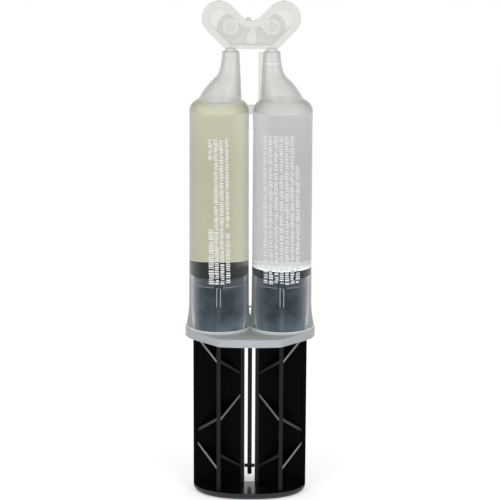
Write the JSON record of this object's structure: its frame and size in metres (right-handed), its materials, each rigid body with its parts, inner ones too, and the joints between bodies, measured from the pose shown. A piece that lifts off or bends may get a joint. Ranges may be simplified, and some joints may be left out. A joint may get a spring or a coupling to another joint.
{
  "type": "two-part adhesive syringe",
  "caption": "Double-barrel syringe for two-part adhesive, with sealed nozzles under a snap-off butterfly cap, a finger flange and a twin-rod plunger.",
  "frame": {"origin": "middle of the thumb plate's underside, on which the full syringe stands", "axes": "+Z along the syringe towards the nozzles, X across the two barrels, -Y the printed front"},
  "size_m": [0.0432, 0.0344, 0.1648],
  "materials": {
    "barrel": "translucent, as moulded",
    "plunger": "glossy, as moulded",
    "piston": "smooth",
    "resin": "liquid",
    "hardener": "liquid"
  },
  "bodies": {
    "barrel": {"double_barrel": "barrel", "resin_fill": "resin", "hardener_fill": "hardener", "stir_stick": "plunger"},
    "plunger": {"plunger": "plunger", "resin_piston": "piston", "hardener_piston": "piston"}
  },
  "joints": [
    {"name": "plunger_slide", "type": "slide", "parent": "barrel", "child": "plunger", "axis": [0, 0, 1], "range_m": [0, 0.0503], "deforming": ["resin_fill", "hardener_fill"]}
  ]
}
